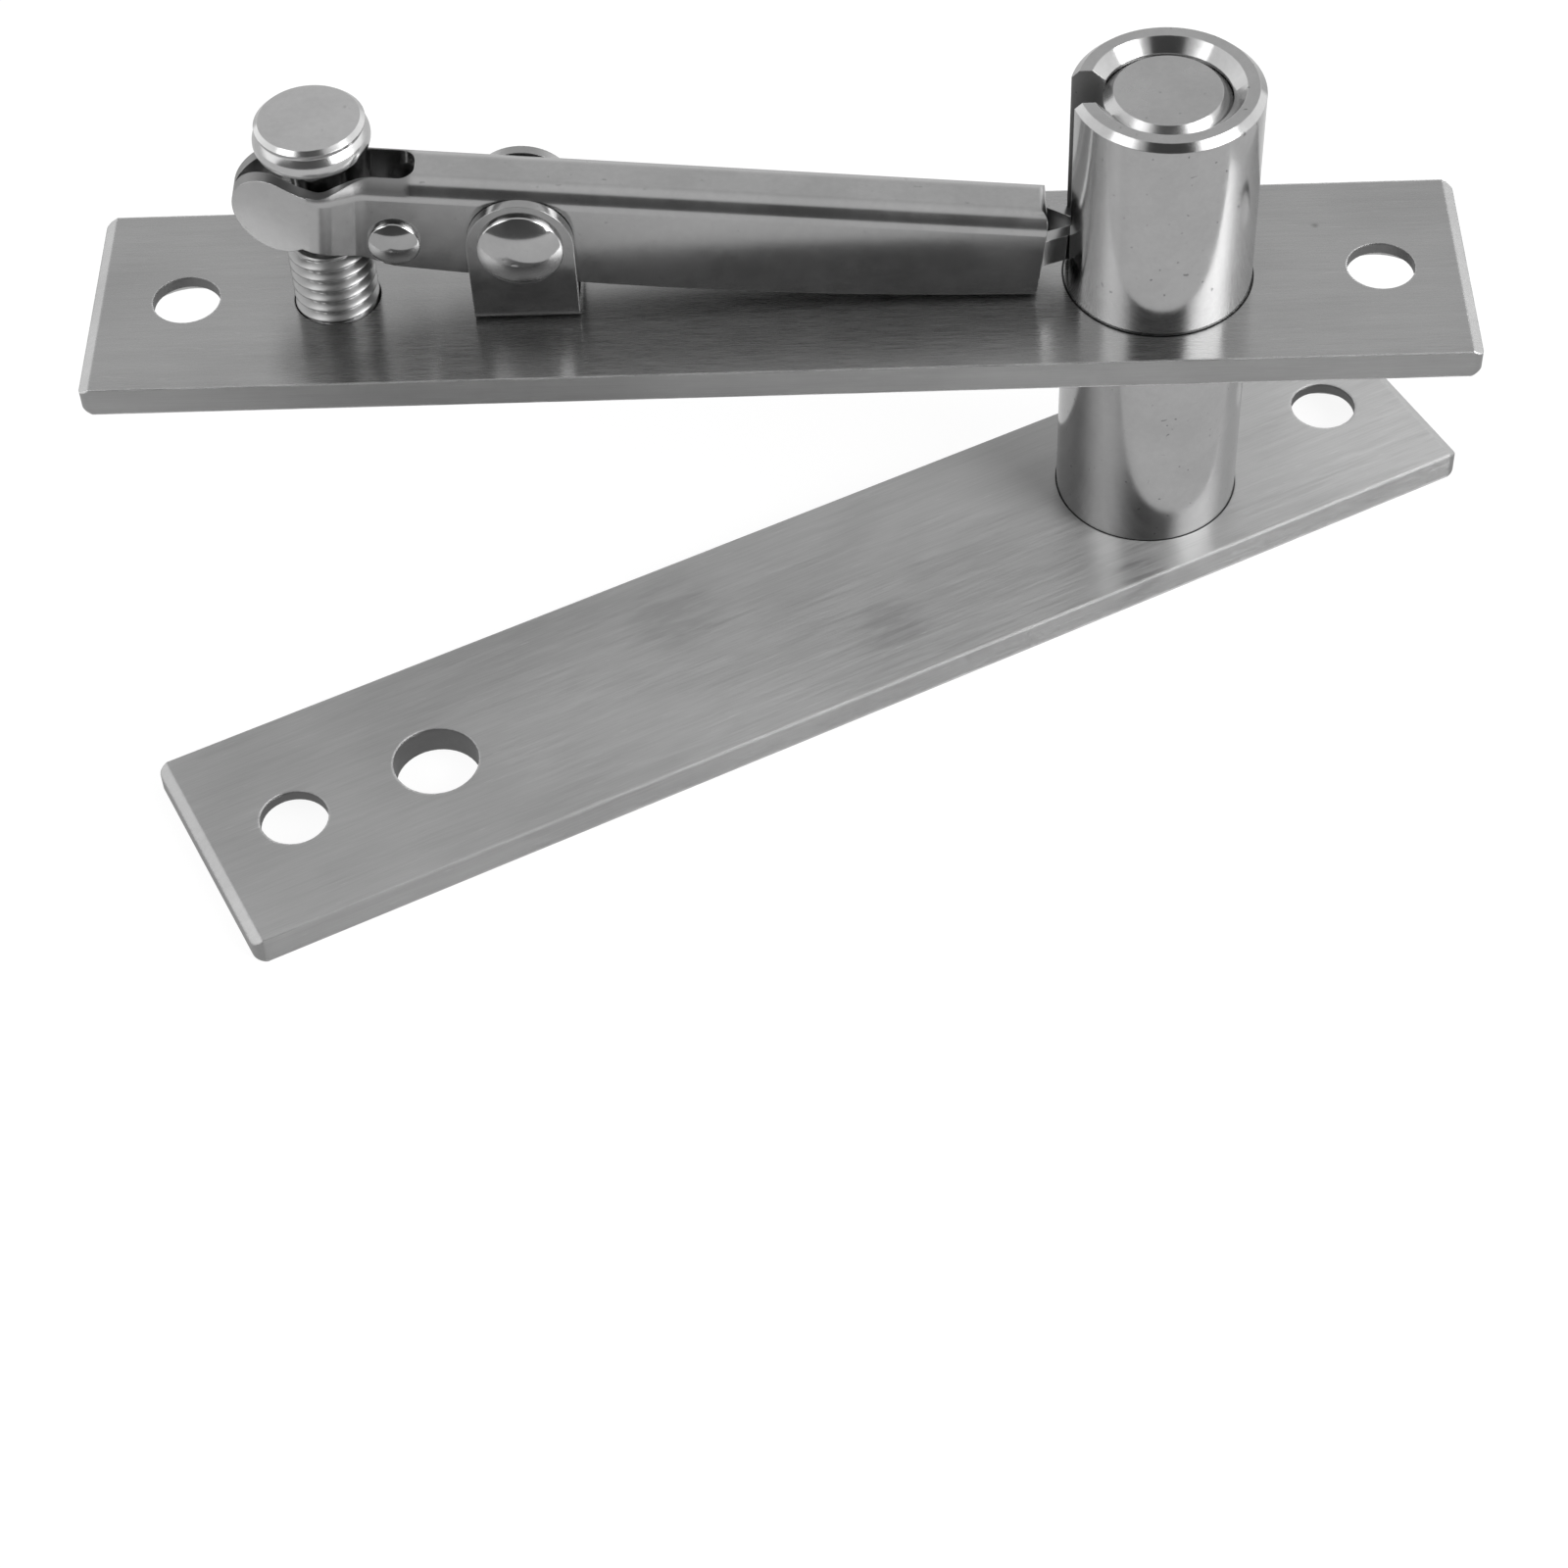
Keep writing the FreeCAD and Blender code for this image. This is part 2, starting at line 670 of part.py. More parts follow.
def make_lever():
    """One folded sheet: a tapered channel, two ears that straddle the screw's
    neck and two strips that close into a nose. Its origin is the fulcrum."""
    body = new_body("lever", FULCRUM_RUN, FULCRUM_LEVEL)
    body.Placement.Rotation.Axis = FreeCAD.Vector(0, 1, 0)
    bind(body, "Placement.Rotation.Angle", "lever_tilt")

    walls = [
        (FOLD_END, FOLD_END_HALF),
        ("bulge_peak", PEAK_HALF),
        ("bulge_start", LEVER_HALF),
        ("web_end", LEVER_END_HALF),
    ]
    inner = inner_face(walls, ["ear_taper_angle", BULGE_ANGLE, TAPER_ANGLE])
    outside = new_sketch(body, "lever_outside", "XY", LEVER_FOOT)
    outline(outside, mirrored(walls))
    pad(body, outside, "lever_block", f"web_height - {LEVER_FOOT}")
    fold_edges(body, "lever_peaks", walls[1], "bulge_fold_radius")
    fold_edges(body, "lever_necks", walls[2], "bulge_fold_radius")
    top = value("web_height")
    finish_edges(
        body, "Fillet", "lever_outer_bends", "lever_bend_radius",
        lambda edge: is_level(edge, top),
    )

    inside = new_sketch(body, "lever_inside", "XY", LEVER_FOOT)
    outline(inside, mirrored(inner[2:]))
    cut(body, inside, "lever_channel", f"{UNDER_WEB} - {LEVER_FOOT}", forward=True)
    ceiling = value(UNDER_WEB)
    finish_edges(
        body, "Fillet", "lever_inner_bends", "lever_bend_radius - lever_sheet",
        lambda edge: is_level(edge, ceiling),
    )
    window = new_sketch(body, "lever_window", "XY", LEVER_FOOT)
    outline(window, window_corners(inner))
    cut(body, window, "lever_cut_away", forward=True)
    fold_edges(body, "lever_inner_peaks", inner[1], "bulge_fold_radius - lever_sheet")
    fold_edges(body, "lever_inner_necks", inner[2], "bulge_fold_radius + lever_sheet")

    ears = new_sketch(body, "lever_ears", "XY", LEVER_FOOT)
    folded_strips(ears, [(EAR_END, EAR_END_HALF), walls[0]], ["ear_taper_angle"])
    pad(body, ears, "lever_ear_strips", f"web_height - {LEVER_FOOT}")
    nose = new_sketch(body, "lever_nose", "XY", LEVER_FOOT)
    nose_corners = [
        ("web_end - lever_sheet", f"{LEVER_END_HALF} - lever_sheet * {TAPER}"),
        ("web_end", LEVER_END_HALF),
        ("web_end + nose_taper_length", NOSE_HALF),
        (f"{NOSE_TIP} + lever_sheet", NOSE_HALF),
    ]
    folded_strips(nose, nose_corners, [TAPER_ANGLE, NOSE_ANGLE, "0"])
    pad(body, nose, "lever_nose_strips", f"{BEND_FOOT} - {LEVER_FOOT}")

    trim = new_sketch(body, "lever_side", "XZ")
    around = "2 * lever_sheet"
    outline(trim, [
        (f"{EAR_END} - {around}", f"{LEVER_FOOT} - {around}"),
        (f"{NOSE_TIP} + {around}", f"{LEVER_FOOT} - {around}"),
        (f"{NOSE_TIP} + {around}", f"web_height + {around}"),
        (f"{EAR_END} - {around}", f"web_height + {around}"),
    ])
    outline(trim, lever_side_corners())
    cut(body, trim, "lever_blanked", both_ways=True)
    bores = new_sketch(body, "lever_bores", "XZ")
    circle(bores, "0", "0", "fulcrum_shank_diameter + 2 * fulcrum_shank_clearance")
    circle(bores, "tie_rivet_run", "-tie_rivet_drop", "tie_shank_diameter")
    cut(body, bores, "lever_drilled", both_ways=True)


def window_corners(inner):
    """The cut-out over the screw's neck: open at the ears, and round-cornered
    where the web begins."""
    corner = "cutout_corner_radius"
    half = f"({inner[2][1]} + (web_start - {corner} - ({inner[2][0]})) * {TAPER})"
    end = f"({half} - {corner})"
    back = f"({inner[0][0]} - lever_sheet)"
    back_half = f"({inner[0][1]} - lever_sheet * tan(ear_taper_angle))"
    far = [(back, back_half), inner[1], inner[2]]
    return [(x, f"-1 * ({y})") for x, y in far] + [
        (f"web_start - {corner}", f"-1 * {half}", corner, -1),
        ("web_start", f"-1 * {end}"),
        ("web_start", end, corner, -1),
        (f"web_start - {corner}", half),
    ] + far[::-1]


# The top of the lever's side outline runs from the ear's round over two arcs:
# one hollow, lowest at the dip, and one crowned, level where it joins the web
DIP_OVER_EAR = "(ear_dip_height - ear_centre_rise)"
DIP_RADIUS = (
    f"(((ear_dip_run - ear_centre_run) ^ 2 / (ear_radius - {DIP_OVER_EAR})"
    f" - ear_radius - {DIP_OVER_EAR}) / 2)"
)
DIP_RISE = "(web_height - ear_dip_height)"
SHOULDER_RADIUS = (
    f"(((shoulder_run - ear_dip_run) ^ 2 / {DIP_RISE} + {DIP_RISE}) / 2 - {DIP_RADIUS})"
)


def lever_side_corners():
    """The lever seen from the side, clockwise from the end of the ear's round."""
    on_ear = f"(ear_radius / (ear_radius + {DIP_RADIUS}))"
    on_dip = f"({DIP_RADIUS} / ({DIP_RADIUS} + {SHOULDER_RADIUS}))"
    ear_low_run = "(ear_centre_run + ear_radius * sin(ear_low_angle))"
    ear_low = "(ear_centre_rise - ear_radius * cos(ear_low_angle))"
    corner = "web_corner_radius"
    nose_top = "(nose_centre_rise + nose_height / 2)"
    nose_low = "(nose_centre_rise - nose_height / 2)"
    flange_corner = "flange_corner_radius"
    belly_span = "(web_end - tie_rivet_run)"
    belly_sag = "(belly_depth - (flange_start_depth + flange_end_depth) / 2)"
    belly = f"(({belly_span} / 2) ^ 2 + {belly_sag} ^ 2) / (2 * {belly_sag})"
    return [
        (
            f"ear_centre_run + (ear_dip_run - ear_centre_run) * {on_ear}",
            f"ear_centre_rise + ({DIP_OVER_EAR} + {DIP_RADIUS}) * {on_ear}",
            DIP_RADIUS, -1,
        ),
        (
            f"ear_dip_run + (shoulder_run - ear_dip_run) * {on_dip}",
            f"ear_dip_height + {DIP_RADIUS} * (1 - {on_dip})"
            f" + ({DIP_RISE} - {SHOULDER_RADIUS}) * {on_dip}",
            SHOULDER_RADIUS, 1,
        ),
        ("shoulder_run", "web_height"),
        (f"web_end - {corner}", "web_height", corner, 1),
        ("web_end", f"web_height - {corner}"),
        ("web_end", nose_top),
        (f"{NOSE_TIP} - nose_height / 2", nose_top, "nose_height / 2", 1),
        (NOSE_TIP, "nose_centre_rise", "nose_height / 2", 1),
        (f"{NOSE_TIP} - nose_height / 2", nose_low),
        ("web_end", nose_low),
        ("web_end", f"-flange_end_depth + {flange_corner}", flange_corner, 1),
        (f"web_end - {flange_corner}", "-flange_end_depth", belly, 1),
        ("tie_rivet_run", "-flange_start_depth"),
        ("bulge_peak", "-ear_underside_depth"),
        (ear_low_run, ear_low, "ear_radius", 2),
    ]


def check(bodies):
    """Stop before anything is written if a feature failed or a solid is bad."""
    for item in doc.Objects:
        for fault in ("Invalid", "Error"):
            if fault in item.State:
                raise RuntimeError(f"{item.Name} is {fault}")
        if item.TypeId == "Sketcher::SketchObject" and not item.FullyConstrained:
            raise RuntimeError(f"{item.Name} is not held by its sizes")
    for body in bodies:
        shape = body.Shape
        if shape.isNull() or not shape.isValid() or len(shape.Solids) != 1:
            raise RuntimeError(f"{body.Label} is not one valid solid")


make_socket_leaf()
make_socket_barrel()
make_pivot_leaf()
make_guide_barrel()
make_pivot_pin()
make_adjusting_screw()
make_fulcrum_bracket()
turned_rivet(
    "fulcrum_rivet", FULCRUM_RUN, FULCRUM_LEVEL, CHEEK_OUTER,
    "fulcrum_shank_diameter", "fulcrum_head_diameter", "fulcrum_head_height",
)
make_lever()
turned_rivet(
    "tie_rivet",
    f"{FULCRUM_RUN} + tie_rivet_run * cos(lever_tilt) - tie_rivet_drop * sin(lever_tilt)",
    f"{FULCRUM_LEVEL} - tie_rivet_run * sin(lever_tilt) - tie_rivet_drop * cos(lever_tilt)",
    LEVER_HALF, "tie_shank_diameter", "tie_head_diameter", "tie_head_height",
)
doc.recompute()
bodies = [item for item in doc.Objects if item.TypeId == "PartDesign::Body"]
check(bodies)
os.makedirs("parts", exist_ok=True)
for body in bodies:
    body.Shape.exportStep(f"parts/{body.Label}.step")
    print(f"{body.Label}: {body.Shape.Volume:.1f} mm3")
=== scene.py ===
# %% [markdown]
# Pivot hinge in stainless steel
# Two flat leaves turn about one upright pin. The upper leaf carries a slotted
# barrel and a folded lever with its screw, and the lower leaf a closed socket.
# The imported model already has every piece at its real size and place, so this
# file gives the pieces their finish, cuts the screw's thread, turns the rivets'
# domes, and sets up the camera and the light. It starts by loading that model.

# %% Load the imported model
import math

import bpy
import numpy as np
from mathutils import Matrix, Vector


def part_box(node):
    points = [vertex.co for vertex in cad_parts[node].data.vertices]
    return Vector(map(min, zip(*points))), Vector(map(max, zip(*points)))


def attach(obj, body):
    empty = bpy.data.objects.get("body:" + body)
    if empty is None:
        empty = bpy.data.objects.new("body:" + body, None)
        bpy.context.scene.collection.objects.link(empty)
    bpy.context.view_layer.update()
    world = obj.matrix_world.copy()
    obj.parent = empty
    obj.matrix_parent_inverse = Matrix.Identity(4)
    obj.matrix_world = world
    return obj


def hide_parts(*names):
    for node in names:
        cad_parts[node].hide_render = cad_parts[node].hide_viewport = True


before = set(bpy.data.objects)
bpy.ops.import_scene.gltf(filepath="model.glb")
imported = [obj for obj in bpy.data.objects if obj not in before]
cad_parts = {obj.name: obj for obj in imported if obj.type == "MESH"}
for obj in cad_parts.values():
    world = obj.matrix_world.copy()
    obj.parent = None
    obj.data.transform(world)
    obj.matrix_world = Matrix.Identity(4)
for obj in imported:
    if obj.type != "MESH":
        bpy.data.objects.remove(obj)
bpy.context.view_layer.update()
MM = 0.001

# %% [markdown]
# Colours are written as hex codes, the way a paint chart gives them. The shaders
# work on linear light, so one function turns a code into linear values. Bright
# steel has no hue of its own here, so all the codes are greys.

# %% Colour values
def colour(code):
    """Linear red, green, blue and alpha of an sRGB hex code: below a small value
    the curve is a straight line, and above it a power of 2.4."""
    channels = np.array([int(code[i:i + 2], 16) for i in (1, 3, 5)]) / 255
    low = channels / 12.92
    high = ((channels + 0.055) / 1.055) ** 2.4
    return (*np.where(channels <= 0.04045, low, high).tolist(), 1.0)


# %% [markdown]
# Every material is a small tree of nodes. One function adds a node, sets what is
# a plain value and links what is another node. Two more build on it what the
# finishes use most: an uneven pattern with its own real size in each direction,
# and a tone that is made lighter or darker layer by layer. Painted pictures could
# do the same, but nodes need no unwrapping and stay sharp at any distance.

# %% Functions for nodes
def add(tree, kind, inputs=None, **settings):
    """Adds a node. inputs names sockets: a node is linked by its first output, an
    output is linked as it is, and anything else is set as a value."""
    made = tree.nodes.new("ShaderNode" + kind)
    for setting, choice in settings.items():
        setattr(made, setting, choice)
    for socket, given in (inputs or {}).items():
        if isinstance(given, bpy.types.Node):
            given = given.outputs[0]
        if isinstance(given, bpy.types.NodeSocket):
            tree.links.new(given, made.inputs[socket])
        else:
            made.inputs[socket].default_value = given
    return made


def uneven(tree, place, sizes, detail=2.0, rough=0.6):
    """Values of about 0 to 1 whose grains have the given sizes in metres: the
    place is divided by the sizes, and noise is read there."""
    scaled = add(tree, "Mapping", {"Vector": place, "Scale": [1 / size for size in sizes]})
    return add(tree, "TexNoise", {
        "Vector": scaled, "Scale": 1.0, "Detail": detail, "Roughness": rough,
    })


def layered(tree, tone, *layers):
    """A tone times the factors of all its layers. A layer is a value, the two
    numbers between which it matters, and the factors at the first and at the
    second, with a smooth change from one to the other."""
    for value, start, end, low, high in layers:
        factor = add(tree, "MapRange", {
            "Value": value, "From Min": start, "From Max": end, "To Min": low, "To Max": high,
        }, interpolation_type="SMOOTHSTEP")
        tone = add(tree, "Math", {0: tone, 1: factor}, operation="MULTIPLY")
    return tone


# %% [markdown]
# All the finishes start from the same metal. Its colour is a grey times a tone
# that the finish works out, and its gloss and its fine relief come from noise.
# No real edge is perfectly sharp. Rounding each one in the mesh would need many
# faces, so the normal is rounded instead over the last part of a millimetre, and
# the relief is laid over that. Where the rounded normal leaves the flat one, the
# piece has an edge. There, in patches, wear makes the metal rougher, and its
# colour is brightened, partly as wear and partly as a painted highlight.

# %% Bare metal
EDGE_SAMPLES = 4


def bare_steel(name, grain_turn=0.0, stretch=0.0):
    """A metal without a finish: material, tree, shader, the object coordinates
    turned so that X follows the grain, and the object's normal."""
    material = bpy.data.materials.new(name)
    material.use_nodes = True
    tree = material.node_tree
    tree.nodes.clear()
    shader = add(tree, "BsdfPrincipled", {"Metallic": 1.0, "Anisotropic": stretch})
    add(tree, "OutputMaterial", {"Surface": shader})
    place = add(tree, "TexCoord")
    grain = add(
        tree, "Mapping",
        {"Vector": place.outputs["Object"], "Rotation": (0, 0, grain_turn)},
        vector_type="TEXTURE",
    )
    return material, tree, shader, grain, place.outputs["Normal"]


def finish(tree, shader, code, tone, gloss, relief, depth, edge):
    """Links a finish: a colour times its tone, a roughness, a relief of a real
    depth, and an edge, given by its real radius, by how much its colour is
    brightened there, partly as wear and partly as a painted highlight, and by
    how rough wear makes it."""
    radius, wear_and_highlight_gain, worn_roughness = edge
    rounded = add(tree, "Bevel", {"Radius": radius}, samples=EDGE_SAMPLES)
    flat = add(tree, "NewGeometry").outputs["True Normal"]
    turned = add(tree, "VectorMath", {0: rounded, 1: flat}, operation="DOT_PRODUCT")
    patchy = layered(
        tree, 1.0,
        (turned.outputs["Value"], 0.99, 0.88, 0.0, 1.0),
        (relief, 0.35, 0.55, 0.25, 1.0),
    )
    # Painted highlight, partly wear: the patches on the edges get a brighter colour.
    tone = layered(tree, tone, (patchy, 0.0, 1.0, 1.0, wear_and_highlight_gain))
    wear = add(tree, "Math", {0: patchy, 1: worn_roughness}, operation="MULTIPLY")
    gloss = add(tree, "Math", {0: gloss, 1: wear}, operation="MAXIMUM")
    tinted = add(tree, "VectorMath", {0: colour(code)[:3], "Scale": tone}, operation="SCALE")
    bumped = add(tree, "Bump", {
        "Height": relief, "Strength": 1.0, "Distance": depth, "Normal": rounded,
    })
    tree.links.new(tinted.outputs["Vector"], shader.inputs["Base Color"])
    tree.links.new(gloss.outputs["Value"], shader.inputs["Roughness"])
    tree.links.new(bumped.outputs["Normal"], shader.inputs["Normal"])


# %% [markdown]
# The bar of a leaf isn't the same everywhere: holes go through it, and barrels
# and a screw sit in it. Its finish has to know where. A painted mask could say it,
# but the holes all lie in one stretch along the middle, and whatever sits in the
# bar is round, so a box and a few distances from a centre are enough.

# %% Places on the bar
HOLES_MIDDLE = -35.8 * MM
HOLES_REACH = 63.5 * MM
HOLES_ASIDE = 6 * MM


def distance_on_bar(tree, grain, x, y):
    """How far a spot lies from x, y when the bar is seen from above."""
    level = add(tree, "VectorMath", {0: grain, 1: (1, 1, 0)}, operation="MULTIPLY")
    apart = add(tree, "VectorMath", {0: level, 1: (x, y, 0)}, operation="DISTANCE")
    return apart.outputs["Value"]


def inside_holes(tree, grain):
    """1 over the stretch and the width of the bar that hold all its holes."""
    spot = add(tree, "SeparateXYZ", {"Vector": grain})
    between_ends = add(tree, "Math", {
        0: spot.outputs["X"], 1: HOLES_MIDDLE, 2: HOLES_REACH,
    }, operation="COMPARE")
    between_sides = add(tree, "Math", {
        0: spot.outputs["Y"], 1: 0.0, 2: HOLES_ASIDE,
    }, operation="COMPARE")
    return add(tree, "Math", {0: between_ends, 1: between_sides}, operation="MULTIPLY")


# %% [markdown]
# Brushed stainless steel. The flat bar of both leaves was drawn under an abrasive
# belt, which leaves hairlines along its length. Hairlines are long and very
# narrow, so noise is squeezed across the bar and stretched along it. Real ones
# are finer than a pixel of the picture, so these are drawn a little wider. A
# second, wider noise gives the slightly uneven streaks of a belt, and a third the
# faint smudges of handling. Such a surface spreads light across its hairlines and
# mirrors along them, so the shader is anisotropic, with its tangent across the
# bar. The sawn sides are duller. The walls of the holes are duller too, and are
# darkened as painted shade inside the holes. A thin ring of painted shade runs
# round whatever is pressed into the bar, where the gap between the pieces lies
# in shadow.

# %% Brushed stainless steel
HAIRLINE = (4.5 * MM, 0.08 * MM, 0.08 * MM)
STREAK = (26 * MM, 0.8 * MM, 0.8 * MM)
SMUDGE = (24 * MM, 13 * MM, 13 * MM)
SCRATCH = (2.6 * MM, 0.16 * MM, 0.16 * MM)
LONG_EDGES = 11.6 * MM
BLOTCH = (7 * MM, 1.6 * MM, 1.6 * MM)
HAIRLINE_DEPTH = 0.0009 * MM
BRUSHED_STRETCH = 0.88
SAWN_TONE = 0.88
SAWN_ROUGHNESS = 0.12
# Painted shade: the walls of the holes and the rings round pressed-in pieces are darkened by the
# next two factors.
HOLE_SHADE_TONE = 0.5
GAP_SHADE_TONE = 0.1
# Brightening of the edges at the ends and in the holes, partly wear and partly painted highlight.
END_WEAR_AND_HIGHLIGHT_GAIN = 1.3
WORN_ROUGHNESS = 0.65


def brushed_steel(name, code, roughness, grain_turn, edge, gap_shade_rings, marks):
    """Hairlines along the turned X direction. edge is the radius of the edges and
    how much the long ones are brightened, partly as wear and partly as a painted
    highlight. The list of rings gives the centre, radius and width of each ring
    of painted shade round a piece that goes through, where the gap lies in
    shadow. marks lists the centre, radius and tone of each handling mark."""
    material, tree, shader, grain, normal = bare_steel(name, grain_turn, BRUSHED_STRETCH)
    hairline = uneven(tree, grain, HAIRLINE)
    scratch = uneven(tree, grain, SCRATCH, detail=1.0)
    upward = add(tree, "SeparateXYZ", {"Vector": normal}).outputs["Z"]
    level = add(tree, "Math", {0: upward}, operation="ABSOLUTE")
    sawn = layered(tree, 1.0, (level, 0.6, 0.35, 0.0, 1.0))
    # Painted shade inside the holes: their walls get a darker colour.
    hole_shade = add(tree, "Math", {0: sawn, 1: inside_holes(tree, grain)}, operation="MULTIPLY")
    tone = layered(
        tree, 1.0,
        (hairline, 0.25, 0.75, 0.94, 1.06),
        (uneven(tree, grain, STREAK), 0.3, 0.7, 0.975, 1.02),
        (uneven(tree, grain, SMUDGE), 0.35, 0.65, 0.94, 1.04),
        (scratch, 0.72, 0.78, 1.0, 1.15),
        (scratch, 0.27, 0.22, 1.0, 0.94),
        (sawn, 0.0, 1.0, 1.0, SAWN_TONE),
        (hole_shade, 0.0, 1.0, 1.0, HOLE_SHADE_TONE),
    )
    # Painted shade: a thin dark ring round each piece that goes through the bar, where the gap
    # lies in shadow.
    for x, y, radius, width in gap_shade_rings:
        apart = distance_on_bar(tree, grain, x, y)
        gap_shade = add(tree, "Math", {0: apart, 1: radius, 2: width}, operation="COMPARE")
        tone = layered(tree, tone, (gap_shade, 0.0, 1.0, 1.0, GAP_SHADE_TONE))
    blotch = layered(tree, 1.0, (uneven(tree, grain, BLOTCH, detail=3.0), 0.25, 0.7, 0.0, 1.0))
    for x, y, radius, mark_tone in marks:
        apart = distance_on_bar(tree, grain, x, y)
        mark = layered(tree, blotch, (apart, radius, 0.0, 0.0, 1.0))
        tone = layered(tree, tone, (mark, 0.0, 0.7, 1.0, mark_tone))
    brushed_gloss = layered(tree, 1.0, (hairline, 0.25, 0.75, roughness - 0.03, roughness + 0.05))
    sawn_gloss = layered(tree, 1.0, (sawn, 0.0, 1.0, 0.0, SAWN_ROUGHNESS))
    gloss = add(tree, "Math", {0: brushed_gloss, 1: sawn_gloss}, operation="ADD")
    radius, long_edges_wear_and_highlight_gain = edge
    across_bar = add(tree, "SeparateXYZ", {"Vector": grain}).outputs["Y"]
    aside = add(tree, "Math", {0: across_bar}, operation="ABSOLUTE")
    # Painted highlight, partly wear: the long edges are brightened by their own gain, the others
    # by the end gain.
    edge_wear_and_highlight = layered(
        tree, 1.0,
        (aside, LONG_EDGES, LONG_EDGES + radius, END_WEAR_AND_HIGHLIGHT_GAIN, long_edges_wear_and_highlight_gain),
    )
    wear = (radius, edge_wear_and_highlight, WORN_ROUGHNESS)
    finish(tree, shader, code, tone, gloss, hairline, HAIRLINE_DEPTH, wear)
    across = add(
        tree, "VectorTransform",
        {"Vector": (-math.sin(grain_turn), math.cos(grain_turn), 0)},
        vector_type="VECTOR", convert_from="OBJECT", convert_to="WORLD",
    )
    tree.links.new(across.outputs["Vector"], shader.inputs["Tangent"])
    return material


# %% [markdown]
# Turned and polished steel. Barrels, pin and rivets came off a lathe and were
# buffed, and the lever and its bracket were folded from bright sheet, so they
# mirror the room softly. A perfect mirror would look like glass, so a little haze,
# a faint mottle and a few small pits break it.

# %% Polished steel
HAZE = (7 * MM,) * 3
MOTTLE = (0.7 * MM,) * 3
PIT = (0.5 * MM,) * 3
MOTTLE_DEPTH = 0.0004 * MM
PIT_DARKENING = 0.45
DULL_ROUGHNESS = 0.45


def polished_steel(name, code, roughness, haze, edge, pitted=1.0, dull=None):
    """Near-mirror steel with uneven gloss. haze is the spread of the roughness
    and pitted how dark the pits are. dull is a function that marks the
    unpolished faces, with their tone."""
    material, tree, shader, place, normal = bare_steel(name)
    cloud = uneven(tree, place, HAZE, detail=4.0, rough=0.65)
    grains = uneven(tree, place, MOTTLE, detail=3.0, rough=0.7)
    pits = uneven(tree, place, PIT, detail=0.0)
    tone = layered(
        tree, 1.0,
        (cloud, 0.3, 0.7, 0.95, 1.04),
        (grains, 0.3, 0.7, 0.98, 1.02),
        (pits, 0.8, 0.86, 1.0, 1 - PIT_DARKENING * pitted),
    )
    gloss = layered(tree, 1.0, (cloud, 0.35, 0.65, roughness - haze, roughness + haze))
    if dull:
        where, dull_tone = dull
        unpolished = where(tree, place, normal)
        tone = layered(tree, tone, (unpolished, 0.0, 1.0, 1.0, dull_tone))
        dullness = add(tree, "Math", {0: unpolished, 1: DULL_ROUGHNESS}, operation="MULTIPLY")
        gloss = add(tree, "Math", {0: gloss, 1: dullness}, operation="MAXIMUM")
    finish(tree, shader, code, tone, gloss, grains, MOTTLE_DEPTH, edge)
    return material


# %% [markdown]
# Some faces were never polished: the walls of the milled slot and the cut edges
# of the sheet. They could get a material of their own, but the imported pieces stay
# whole, so a function finds them by where they lie on the piece.

# %% Unpolished faces
SLOT_HALF = 2.25 * MM
SLOT_START = -3 * MM
SLOT_MARGIN = 0.03 * MM


def slot_walls(tree, place, normal):
    """1 on the two walls of the barrel's slot, which lie level with its sides."""
    spot = add(tree, "SeparateXYZ", {"Vector": place})
    aside = add(tree, "Math", {0: spot.outputs["Y"]}, operation="ABSOLUTE")
    wall = add(tree, "Math", {0: aside, 1: SLOT_HALF, 2: SLOT_MARGIN}, operation="COMPARE")
    slotted = add(tree, "Math", {0: spot.outputs["X"], 1: SLOT_START}, operation="LESS_THAN")
    return add(tree, "Math", {0: wall, 1: slotted}, operation="MULTIPLY")


WEB_START = -68.8 * MM
WEB_SOFT = 0.7 * MM


def cut_edges(tree, place, normal):
    """1 on what faces up beyond the lever's web: the edges of its two walls."""
    spot = add(tree, "SeparateXYZ", {"Vector": place})
    facing = add(tree, "SeparateXYZ", {"Vector": normal})
    return layered(
        tree, 1.0,
        (spot.outputs["X"], WEB_START + WEB_SOFT, WEB_START - WEB_SOFT, 0.0, 1.0),
        (facing.outputs["Z"], 0.15, 0.4, 0.0, 1.0),
    )


# %% [markdown]
# The finishes go on the imported pieces by name. The rings of painted shade lie
# where the barrels and the screw go through the leaves; the lower leaf is turned
# about the pivot, so its grain is too.

# %% Finishes
LEAF_TURN = math.radians(27)
SCREW_X = sum(corner.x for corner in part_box("adjusting_screw")) / 2
# Rings of painted shade in the gaps round the barrels and the screw: centre, radius and width.
BARREL_GAP_SHADE = (0, 0, 8.92 * MM, 0.1 * MM)
SOCKET_GAP_SHADE = (0, 0, 8.88 * MM, 0.06 * MM)
SCREW_GAP_SHADE = (SCREW_X, 0, 4.07 * MM, 0.05 * MM)
# In each edge, the second number is how much its colour is brightened, partly as wear and partly
# as a painted highlight; the third, where given, is how rough wear makes it.
UPPER_EDGE = (0.28 * MM, 3.4)
LOWER_EDGE = (0.4 * MM, 1.15)
TURNED_EDGE = (0.12 * MM, 1.2, 0.0)
SHEET_EDGE = (0.12 * MM, 1.3, 0.0)
SCREW_EDGE = (0.08 * MM, 1.0, 0.0)
RIVET_EDGE = (0.05 * MM, 1.0, 0.0)
UPPER_MARKS = [(15.4 * MM, 6.2 * MM, 0.7 * MM, 0.35)]
LOWER_MARKS = [
    (-49.2 * MM, 6.2 * MM, 8.0 * MM, 0.84),
    (-31.4 * MM, -5.9 * MM, 6.0 * MM, 0.84),
    (-7.4 * MM, -10.8 * MM, 4.0 * MM, 0.8),
]
